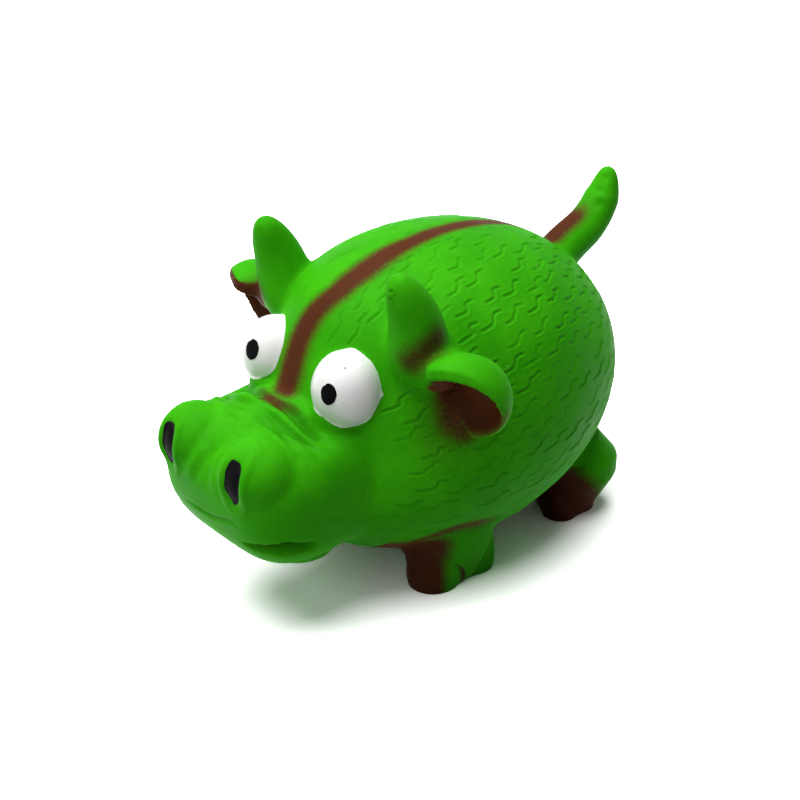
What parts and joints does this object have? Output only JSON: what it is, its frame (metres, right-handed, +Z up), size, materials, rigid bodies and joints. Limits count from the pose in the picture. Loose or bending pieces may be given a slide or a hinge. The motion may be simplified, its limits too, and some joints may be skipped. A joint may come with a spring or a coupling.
{
  "type": "squeaky dog toy",
  "caption": "Hollow latex dog toy shaped as a horned piglet on stub legs, with cupped ears and a curled tail, that squeaks through a plug in its belly when it is squeezed",
  "frame": {"origin": "on the floor, under the middle of the whole toy's box", "axes": "+Z up, -Y towards the nose, +Y towards the tail, +X towards the toy's left side"},
  "size_m": [0.1118, 0.157, 0.0994],
  "materials": {
    "green_latex": "matte soft latex, dyed bright green, with brown sprayed paint on the back, ears and hooves",
    "white_eye_paint": "latex under hand-painted satin white",
    "black_paint": "hand-painted gloss black",
    "polyester_fibre": "loose white polyester fibre",
    "squeaker_plastic": "moulded off-white polyethylene",
    "reed_film": "thin springy amber film"
  },
  "bodies": {
    "lower": {"belly_skin": "green_latex", "left_front_leg": "green_latex", "right_front_leg": "green_latex", "left_rear_leg": "green_latex", "right_rear_leg": "green_latex", "fibre_filling": "polyester_fibre", "squeaker_plug": "squeaker_plastic", "reed_holder": "squeaker_plastic", "reed_wedge": "squeaker_plastic", "squeaker_cap": "squeaker_plastic"},
    "upper": {"back_skin": "green_latex", "muzzle": "green_latex", "lower_lip": "green_latex", "left_nostril": "black_paint", "right_nostril": "black_paint", "left_eye": "white_eye_paint", "right_eye": "white_eye_paint", "left_pupil": "black_paint", "right_pupil": "black_paint", "left_horn": "green_latex", "right_horn": "green_latex", "left_ear": "green_latex", "right_ear": "green_latex", "tail": "green_latex"},
    "reed_tongue": {"reed": "reed_film"}
  },
  "joints": [
    {"name": "squeeze", "type": "slide", "parent": "lower", "child": "upper", "axis": [0, 0, -1], "range_m": [0, 0.012], "stiffness_N_per_m": 1500, "springref_m": -0.002, "deforming": ["belly_skin", "fibre_filling"]},
    {"name": "reed_flutter", "type": "hinge", "parent": "lower", "child": "reed_tongue", "pos_m": [0, 0.00271, 0.0144], "axis": [1, 0, 0], "range_deg": [-3, 4], "stiffness_Nm_per_rad": 0.00002}
  ]
}
